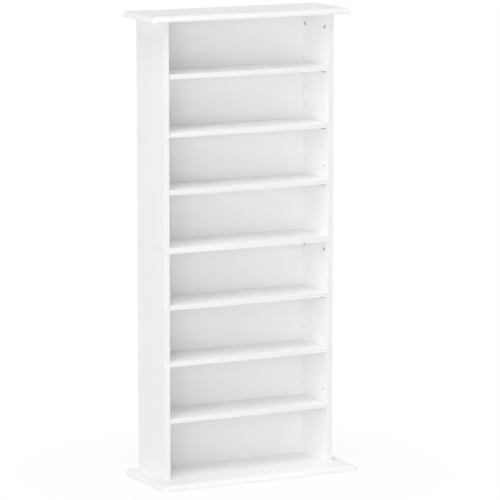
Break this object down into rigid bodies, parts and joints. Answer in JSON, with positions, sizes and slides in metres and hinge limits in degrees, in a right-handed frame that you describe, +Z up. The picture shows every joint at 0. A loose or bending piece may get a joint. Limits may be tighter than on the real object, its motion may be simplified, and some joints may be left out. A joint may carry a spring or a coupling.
{
  "type": "media storage tower",
  "caption": "Tall open storage tower for disc cases: moulded top and base, sides in two lengths round a fixed middle shelf, loose shelves on pins, recessed backs.",
  "frame": {"origin": "middle of the base board on the floor", "axes": "+Z up, +Y towards the back, so the open front faces -Y; +X to the right seen from the front"},
  "size_m": [0.603, 0.248, 1.295],
  "materials": {
    "laminated_board": "chipboard with a satin white laminate and white edge band",
    "back_panel": "thin hardboard, white on its front",
    "shelf_pins": "nickel-plated steel, satin",
    "cam_locks": "die-cast zinc, dull grey",
    "steel_fasteners": "steel, yellow zinc plated"
  },
  "bodies": {
    "case": {"base_board": "laminated_board", "middle_shelf": "laminated_board", "top_board": "laminated_board", "lower_side_left": "laminated_board", "lower_side_right": "laminated_board", "upper_side_left": "laminated_board", "upper_side_right": "laminated_board", "lower_back": "back_panel", "upper_back": "back_panel", "shelf_1_pin_left_front": "shelf_pins", "shelf_1_pin_left_rear": "shelf_pins", "shelf_1_pin_right_front": "shelf_pins", "shelf_1_pin_right_rear": "shelf_pins", "shelf_2_pin_left_front": "shelf_pins", "shelf_2_pin_left_rear": "shelf_pins", "shelf_2_pin_right_front": "shelf_pins", "shelf_2_pin_right_rear": "shelf_pins", "shelf_3_pin_left_front": "shelf_pins", "shelf_3_pin_left_rear": "shelf_pins", "shelf_3_pin_right_front": "shelf_pins", "shelf_3_pin_right_rear": "shelf_pins", "shelf_4_pin_left_front": "shelf_pins", "shelf_4_pin_left_rear": "shelf_pins", "shelf_4_pin_right_front": "shelf_pins", "shelf_4_pin_right_rear": "shelf_pins", "shelf_5_pin_left_front": "shelf_pins", "shelf_5_pin_left_rear": "shelf_pins", "shelf_5_pin_right_front": "shelf_pins", "shelf_5_pin_right_rear": "shelf_pins", "shelf_6_pin_left_front": "shelf_pins", "shelf_6_pin_left_rear": "shelf_pins", "shelf_6_pin_right_front": "shelf_pins", "shelf_6_pin_right_rear": "shelf_pins", "middle_cam_left_front": "cam_locks", "middle_cam_left_rear": "cam_locks", "middle_cam_right_front": "cam_locks", "middle_cam_right_rear": "cam_locks", "top_cam_left_front": "cam_locks", "top_cam_left_rear": "cam_locks", "top_cam_right_front": "cam_locks", "top_cam_right_rear": "cam_locks", "middle_cam_bolt_left_front": "steel_fasteners", "middle_cam_bolt_left_rear": "steel_fasteners", "middle_cam_bolt_right_front": "steel_fasteners", "middle_cam_bolt_right_rear": "steel_fasteners", "top_cam_bolt_left_front": "steel_fasteners", "top_cam_bolt_left_rear": "steel_fasteners", "top_cam_bolt_right_front": "steel_fasteners", "top_cam_bolt_right_rear": "steel_fasteners", "base_screw_left_front": "steel_fasteners", "base_screw_left_rear": "steel_fasteners", "base_screw_right_front": "steel_fasteners", "base_screw_right_rear": "steel_fasteners"},
    "shelf_1": {"shelf_1": "laminated_board"},
    "shelf_2": {"shelf_2": "laminated_board"},
    "shelf_3": {"shelf_3": "laminated_board"},
    "shelf_4": {"shelf_4": "laminated_board"},
    "shelf_5": {"shelf_5": "laminated_board"},
    "shelf_6": {"shelf_6": "laminated_board"}
  },
  "joints": [
    {"name": "shelf_1_slide", "type": "slide", "parent": "case", "child": "shelf_1", "axis": [0, -1, 0], "range_m": [0, 0.15]},
    {"name": "shelf_2_slide", "type": "slide", "parent": "case", "child": "shelf_2", "axis": [0, -1, 0], "range_m": [0, 0.15]},
    {"name": "shelf_3_slide", "type": "slide", "parent": "case", "child": "shelf_3", "axis": [0, -1, 0], "range_m": [0, 0.15]},
    {"name": "shelf_4_slide", "type": "slide", "parent": "case", "child": "shelf_4", "axis": [0, -1, 0], "range_m": [0, 0.15]},
    {"name": "shelf_5_slide", "type": "slide", "parent": "case", "child": "shelf_5", "axis": [0, -1, 0], "range_m": [0, 0.15]},
    {"name": "shelf_6_slide", "type": "slide", "parent": "case", "child": "shelf_6", "axis": [0, -1, 0], "range_m": [0, 0.15]}
  ]
}
